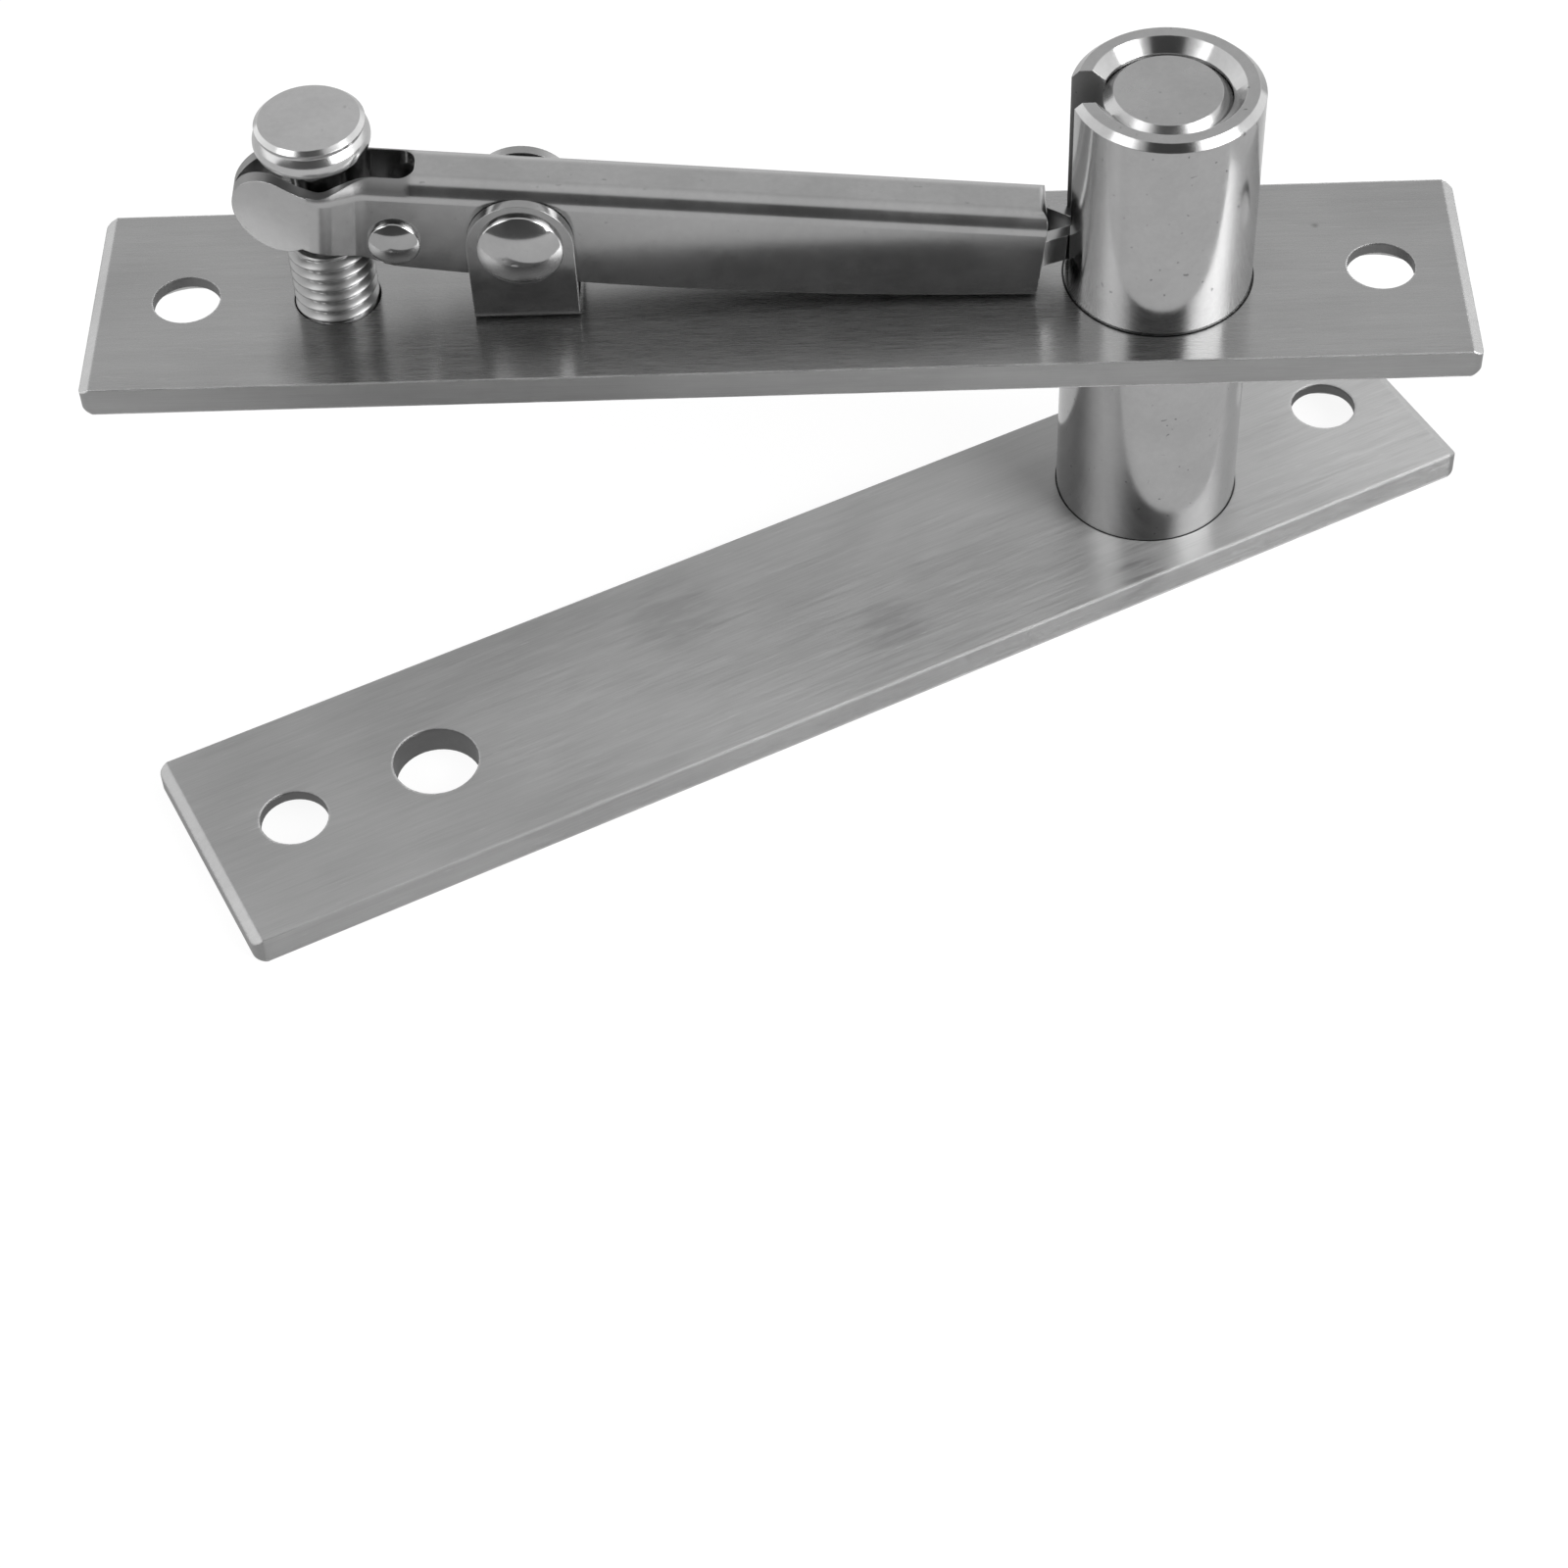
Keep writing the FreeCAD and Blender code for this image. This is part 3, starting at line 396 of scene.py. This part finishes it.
finishes = {
    "pivot_leaf_plate": brushed_steel(
        "brushed_stainless_upper", "#ababab", 0.27, 0.0, UPPER_EDGE,
        [BARREL_GAP_SHADE, SCREW_GAP_SHADE], UPPER_MARKS),
    "socket_leaf_plate": brushed_steel(
        "brushed_stainless_lower", "#adadad", 0.4, LEAF_TURN, LOWER_EDGE,
        [SOCKET_GAP_SHADE], LOWER_MARKS),
    "guide_barrel": polished_steel(
        "buffed_stainless_barrel", "#b0b0b0", 0.15, 0.03, TURNED_EDGE, dull=(slot_walls, 0.72)),
    "socket_barrel": polished_steel("buffed_stainless_socket", "#b0b0b0", 0.16, 0.03, TURNED_EDGE),
    "pivot_pin": polished_steel("satin_stainless_pin", "#b0b0b0", 0.26, 0.03, TURNED_EDGE, 0.4),
    "lever": polished_steel(
        "rolled_stainless_sheet", "#adadad", 0.21, 0.025, SHEET_EDGE, 0.4, (cut_edges, 0.55)),
    "fulcrum_bracket": polished_steel(
        "rolled_stainless_bracket", "#a0a0a0", 0.2, 0.04, SHEET_EDGE, 0.4),
}
for node_name, material in finishes.items():
    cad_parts[node_name].material_slots[0].material = material
print("finishes:", len(finishes))

# %% [markdown]
# Turned pieces are surfaces with two parameters: how far round the axis, and how
# far along a profile. Blender can spin a profile by itself, but then the radius is
# the same all the way round. One function makes the mesh from a grid of radii
# and a list of levels, which also gives a thread and a key socket. It can stand
# the axis upright, or lay it across the lever.

# %% Turned surfaces
AROUND = 120
SHARP_ANGLE = math.radians(24)
UPRIGHT = np.eye(3)
ACROSS = np.array([[1, 0, 0], [0, 0, -1], [0, 1, 0]])


def turned_surface(name, radii, levels, tips, centre, axes, body, replaced, material):
    """A piece of the hinge from rows of radii, one row for each level along its
    axis: a point lies at its radius times the cosine and the sine of its turn.
    tips are the levels of the two points that close it."""
    rows = len(levels)
    turn = np.linspace(0, 2 * math.pi, AROUND, endpoint=False)
    points = np.stack([
        radii * np.cos(turn),
        radii * np.sin(turn),
        np.repeat(np.array(levels)[:, None], AROUND, axis=1),
    ], axis=-1).reshape(-1, 3)
    points = np.vstack([points, [0, 0, tips[0]], [0, 0, tips[1]]]) @ axes + np.array(centre)
    index = np.arange(rows * AROUND).reshape(rows, AROUND)
    beside = np.roll(index, -1, axis=1)
    quads = np.stack([index[:-1], beside[:-1], beside[1:], index[1:]], axis=-1).reshape(-1, 4)
    first = np.stack([beside[0], index[0], np.full(AROUND, rows * AROUND)], axis=-1)
    last = np.stack([index[-1], beside[-1], np.full(AROUND, rows * AROUND + 1)], axis=-1)
    mesh = bpy.data.meshes.new(name)
    mesh.from_pydata(points.tolist(), [], quads.tolist() + first.tolist() + last.tolist())
    mesh.polygons.foreach_set("use_smooth", np.ones(len(mesh.polygons), dtype=bool))
    mesh.set_sharp_from_angle(angle=SHARP_ANGLE)
    piece = bpy.data.objects.new(name, mesh)
    bpy.context.scene.collection.objects.link(piece)
    mesh.materials.append(material)
    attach(piece, body)
    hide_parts(replaced)
    print(name, "triangles:", sum(len(face.vertices) - 2 for face in mesh.polygons))


def arc(middle_radius, middle_level, width, height, start, end, steps):
    """Radii and levels along part of an ellipse: the middle plus the width times
    the cosine, and plus the height times the sine. Angles are in degrees, from
    the widest place and up."""
    lean = np.radians(np.linspace(start, end, steps))
    return np.stack([
        middle_radius + width * np.cos(lean),
        middle_level + height * np.sin(lean),
    ], axis=-1)


def all_round(profile):
    """The same radius all the way round, for each point of a profile."""
    return np.repeat(np.asarray(profile)[:, :1], AROUND, axis=1)


# %% [markdown]
# The adjusting screw. Its thread is cut here, because a fine thread is a matter
# of looks. On the threaded stretch the radius falls and rises once for each pitch
# of height, and one pitch later for each turn, which makes one continuous helix.
# The head has a rounded lip, a turned groove above it, and a bevelled top.

# %% Adjusting screw with its thread
SCREW_PITCH = 1.25 * MM
THREAD_DEPTH = 0.6 * MM
THREAD_RADIUS = 4.0 * MM
THREAD_RUN_IN = 0.7 * MM
THREAD_LENGTH = 10.1 * MM
STEPS_PER_PITCH = 24
FLANK_STEEPNESS = 1.2
CREST_FLAT = 0.05
ROOT_ROUNDNESS = 1.3
NECK_RADIUS = 2.5 * MM
HEAD_THICKNESS = 3.0 * MM
LIP_WIDTH = 0.5 * MM
LIP_HALF_HEIGHT = 0.92 * MM
LIP_ENDS_AT = 42
LIP_STEPS = 16
GROOVE_RADIUS = 4.92 * MM
GROOVE_LOW = 2.1 * MM
GROOVE_HIGH = 2.2 * MM
BEVEL_RADIUS = 5.08 * MM
BEVEL_RUN = 0.42 * MM
BEVEL_DROP = 0.4 * MM
KEY_FLATS = 4.0 * MM
KEY_DEPTH = 4.5 * MM
THREAD_DULLNESS = 0.8

low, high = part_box("adjusting_screw")
screw_centre = ((low.x + high.x) / 2, (low.y + high.y) / 2, 0)
head_radius = (high.x - low.x) / 2
shoulder = low.z + THREAD_LENGTH
head_under = high.z - HEAD_THICKNESS

turn = np.linspace(0, 2 * math.pi, AROUND, endpoint=False)
sixth = (turn + math.pi / 6) % (math.pi / 3) - math.pi / 6
hexagon = KEY_FLATS / 2 / np.cos(sixth)
thread_levels = np.arange(low.z, shoulder, SCREW_PITCH / STEPS_PER_PITCH)
phase = thread_levels[:, None] / SCREW_PITCH - turn[None, :] / (2 * math.pi)
wave = np.abs(2 * (phase % 1) - 1)
groove = np.clip(FLANK_STEEPNESS * wave - CREST_FLAT, 0, 1) ** ROOT_ROUNDNESS
end_distance = np.minimum(thread_levels - low.z, shoulder - thread_levels)
run_in = np.minimum(THREAD_RADIUS, THREAD_RADIUS - THREAD_RUN_IN + end_distance)[:, None]
thread_radii = np.minimum(THREAD_RADIUS - THREAD_DEPTH * groove, run_in)
head = np.vstack([
    [(NECK_RADIUS, shoulder), (NECK_RADIUS, head_under)],
    arc(
        head_radius - LIP_WIDTH, head_under + LIP_HALF_HEIGHT, LIP_WIDTH, LIP_HALF_HEIGHT,
        -90, LIP_ENDS_AT, LIP_STEPS,
    ),
    [
        (GROOVE_RADIUS, head_under + GROOVE_LOW),
        (GROOVE_RADIUS, head_under + GROOVE_HIGH),
        (BEVEL_RADIUS, high.z - BEVEL_DROP),
        (BEVEL_RADIUS - BEVEL_RUN, high.z),
    ],
])


def threads(tree, place, normal):
    """1 on the threaded stretch, where the plating is a little rough."""
    level = add(tree, "SeparateXYZ", {"Vector": place}).outputs["Z"]
    threaded = add(tree, "Math", {0: level, 1: shoulder}, operation="LESS_THAN")
    return add(tree, "Math", {0: threaded, 1: THREAD_DULLNESS}, operation="MULTIPLY")


turned_surface(
    "threaded_screw",
    np.vstack([hexagon, hexagon, thread_radii, all_round(head)]),
    np.concatenate([[low.z + KEY_DEPTH, low.z], thread_levels, head[:, 1]]),
    (low.z + KEY_DEPTH, high.z),
    screw_centre, UPRIGHT, "screw", "adjusting_screw",
    polished_steel("bright_zinc_screw", "#bebebe", 0.18, 0.03, SCREW_EDGE, 0.3, (threads, 0.5)),
)

# %% [markdown]
# The two rivets lie across the lever. Each head is a low dome, part of a sphere,
# that turns into its seat over a small round rim. The profile goes from one crown
# to the other, and it is the same from both ends, so half of it is mirrored.

# %% Domed rivets
FULCRUM_SHANK = 2.0 * MM
FULCRUM_HEAD = 1.9 * MM
TIE_SHANK = 1.25 * MM
TIE_HEAD = 1.3 * MM
RIM_HEIGHT = 0.55 * MM
RIM_ROUND = 0.35 * MM
DOME_STEPS = 16
RIM_STEPS = 8


def dome(head_radius, height):
    """Radii and heights of a low dome over its seat, from crown to rim. The
    sphere would reach the head's radius at the height of the rim."""
    rise = height - RIM_HEIGHT
    sphere = (head_radius ** 2 + rise ** 2) / (2 * rise)
    touch = math.asin((head_radius - RIM_ROUND) / (sphere - RIM_ROUND))
    lean = np.linspace(0, touch, DOME_STEPS)[1:]
    cap = np.stack([sphere * np.sin(lean), height - sphere * (1 - np.cos(lean))], axis=-1)
    round_level = height - sphere + (sphere - RIM_ROUND) * math.cos(touch)
    bend = arc(
        head_radius - RIM_ROUND, round_level, RIM_ROUND, RIM_ROUND,
        90 - math.degrees(touch), 0, RIM_STEPS,
    )
    return np.vstack([cap, bend[1:], [(head_radius, 0)]])


def domed_rivet(name, node, body, shank_radius, height, code):
    """A rivet in place of a node, as long as the node and as wide as its heads."""
    low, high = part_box(node)
    half = (high.y - low.y) / 2
    near = dome((high.x - low.x) / 2, height)
    near[:, 1] = height - half - near[:, 1]
    seat = [(shank_radius, height - half)]
    profile = np.vstack([near, seat])
    mirrored = profile[::-1] * (1, -1)
    profile = np.vstack([profile, mirrored])
    turned_surface(
        name, all_round(profile), profile[:, 1], (-half, half),
        (low + high) / 2, ACROSS, body, node,
        polished_steel(name + "_finish", code, 0.12, 0.03, RIVET_EDGE, 0.0),
    )


domed_rivet(
    "domed_fulcrum_rivet", "fulcrum_rivet", "pivot_leaf",
    FULCRUM_SHANK, FULCRUM_HEAD, "#b0b0b0",
)
domed_rivet(
    "domed_tie_rivet", "tie_rivet", "lever_arm",
    TIE_SHANK, TIE_HEAD, "#a8a8a8",
)

# %% [markdown]
# The floor is a plain pale sheet. It is white to the camera and about two thirds
# as bright where the metal mirrors it. It keeps part of its own shading, so the
# hinge's soft shadow stays on it.

# %% Floor
FLOOR_HALF = 3.0
FLOOR_BELOW = 0.02 * MM
OWN_WHITE = 0.85
WHITE_STRENGTH = 1.06
MIRRORED_STRENGTH = 0.72


def floor_finish():
    """White sheet: mostly its own even light to the camera, partly lit paper."""
    material = bpy.data.materials.new("white_studio_sheet")
    material.use_nodes = True
    tree = material.node_tree
    tree.nodes.clear()
    paper = add(tree, "BsdfDiffuse", {"Color": colour("#f0f0f0")})
    path = add(tree, "LightPath")
    seen = path.outputs["Is Camera Ray"]
    strength = layered(tree, 1.0, (seen, 0.0, 1.0, MIRRORED_STRENGTH, WHITE_STRENGTH))
    glow = add(tree, "Emission", {"Color": colour("#ffffff"), "Strength": strength})
    for ray in ("Is Glossy Ray", "Is Transmission Ray"):
        seen = add(tree, "Math", {0: seen, 1: path.outputs[ray]}, operation="MAXIMUM")
    share = add(tree, "Math", {0: seen, 1: OWN_WHITE}, operation="MULTIPLY")
    mixed = add(tree, "MixShader", {0: share, 1: paper, 2: glow})
    add(tree, "OutputMaterial", {"Surface": mixed})
    return material


floor_mesh = bpy.data.meshes.new("studio_floor")
corners = [(x * FLOOR_HALF, y * FLOOR_HALF, 0) for x, y in ((-1, -1), (1, -1), (1, 1), (-1, 1))]
floor_mesh.from_pydata(corners, [], [(0, 1, 2, 3)])
floor = bpy.data.objects.new("studio_floor", floor_mesh)
floor.data.materials.append(floor_finish())
bpy.context.scene.collection.objects.link(floor)
floor.location.z = -FLOOR_BELOW
print("floor lies below the hinge by, in mm:", FLOOR_BELOW / MM)

# %% [markdown]
# Polished metal shows the room, so the room has a plan: pale walls that darken a
# little upwards and are brighter at the sides and right overhead, and one tall
# dark card in front. The card is wide at the table and narrower above. It draws
# the thin dark lines that make folds and rims readable.

# %% Room
WALL_LOW = 1.0
WALL_HIGH = 0.7
SIDE_GAIN = 1.55
TOP_GAIN = 1.2
CARD_LEFT = 0.12
CARD_WIDE = math.radians(64)
CARD_NARROW = math.radians(32)
CARD_SOFT = math.radians(7)

world = bpy.data.worlds.new("studio_room")
bpy.context.scene.world = world
world.use_nodes = True
room = world.node_tree
room.nodes.clear()
direction = add(room, "SeparateXYZ", {"Vector": add(room, "TexCoord").outputs["Generated"]})
sideways, lift = direction.outputs["X"], direction.outputs["Z"]
forward = add(room, "Math", {0: direction.outputs["Y"], 1: -1.0}, operation="MULTIPLY")
turned = add(room, "Math", {0: sideways, 1: forward}, operation="ARCTAN2")
bearing = add(room, "Math", {0: turned}, operation="ABSOLUTE")
half_width = layered(room, 1.0, (lift, 0.05, 0.6, CARD_WIDE, CARD_NARROW))
past_edge = add(room, "Math", {0: bearing, 1: half_width}, operation="SUBTRACT")
on_card = layered(
    room, 1.0,
    (past_edge, CARD_SOFT, -CARD_SOFT, 0.0, 1.0),
    (lift, 0.95, 0.84, 0.0, 1.0),
)
aside = add(room, "Math", {0: sideways}, operation="ABSOLUTE")
shaded = layered(
    room, 1.0,
    (lift, 0.0, 0.8, WALL_LOW, WALL_HIGH),
    (aside, 0.3, 0.85, 1.0, SIDE_GAIN),
    (lift, 0.82, 1.0, 1.0, TOP_GAIN),
    (on_card, 0.0, 1.0, 1.0, CARD_LEFT),
)
path = add(room, "LightPath")
strength = add(room, "Mix", {0: path.outputs["Is Camera Ray"], 2: shaded, 3: 1.0})
background = add(room, "Background", {"Color": colour("#ffffff"), "Strength": strength})
add(room, "OutputWorld", {"Surface": background})
print("room's nodes:", len(room.nodes))

# %% [markdown]
# Two square softboxes stand left and right of the camera. The right one is
# lower, nearer and over twice as bright, and lights the lower leaf's brushed face
# across its grain.

# %% Softboxes
LIT_SPOT = Vector((-0.03, 0, 0.03))


def softbox(name, place, size, glow):
    """A square area lamp that points at the hinge; glow is its brightness."""
    lamp = bpy.data.lights.new(name, "AREA")
    lamp.shape = "SQUARE"
    lamp.size = size
    lamp.energy = glow * math.pi * size * size
    holder = bpy.data.objects.new(name, lamp)
    holder.location = place
    towards = LIT_SPOT - Vector(place)
    holder.rotation_euler = towards.to_track_quat("-Z", "Y").to_euler()
    holder.visible_camera = False
    bpy.context.scene.collection.objects.link(holder)
    print(name, "watts:", round(lamp.energy, 2))


softbox("softbox_left", (-0.62, -0.42, 0.55), 0.42, 2.5)
softbox("softbox_right", (0.50, -0.31, 0.32), 0.50, 5.8)

# %% [markdown]
# The camera stands where the photograph was taken from: almost in front, about
# fifty degrees above the leaves, rolled a little to one side.

# %% Camera
CAMERA_AZIMUTH = math.radians(1.84)
CAMERA_ELEVATION = math.radians(49.4)
CAMERA_ROLL = math.radians(-2.87)
CAMERA_DISTANCE = 303.17 * MM
CAMERA_AIM = Vector((-35.64, -59.67, 27.0)) * MM
CAMERA_LENS = 82.64

back = Vector((
    math.sin(CAMERA_AZIMUTH) * math.cos(CAMERA_ELEVATION),
    -math.cos(CAMERA_AZIMUTH) * math.cos(CAMERA_ELEVATION),
    math.sin(CAMERA_ELEVATION),
))
level_right = Vector((0, 0, 1)).cross(back).normalized()
level_up = back.cross(level_right)
right = level_right * math.cos(CAMERA_ROLL) + level_up * math.sin(CAMERA_ROLL)
up = back.cross(right)
camera = bpy.data.objects.new("photo_camera", bpy.data.cameras.new("photo_camera"))
camera.data.lens = CAMERA_LENS
camera.data.clip_start = 0.01
camera.matrix_world = (
    Matrix.Translation(CAMERA_AIM + back * CAMERA_DISTANCE)
    @ Matrix((right, up, back)).transposed().to_4x4()
)
bpy.context.scene.collection.objects.link(camera)
bpy.context.scene.camera = camera
bpy.context.scene.view_settings.view_transform = "Standard"
print("camera stands at, in mm:", [round(v / MM) for v in camera.matrix_world.translation])

# %% [markdown]
# The dressed hinge must stay as big as the imported one. Last, the view layer is
# brought up to date.


bpy.context.view_layer.update()
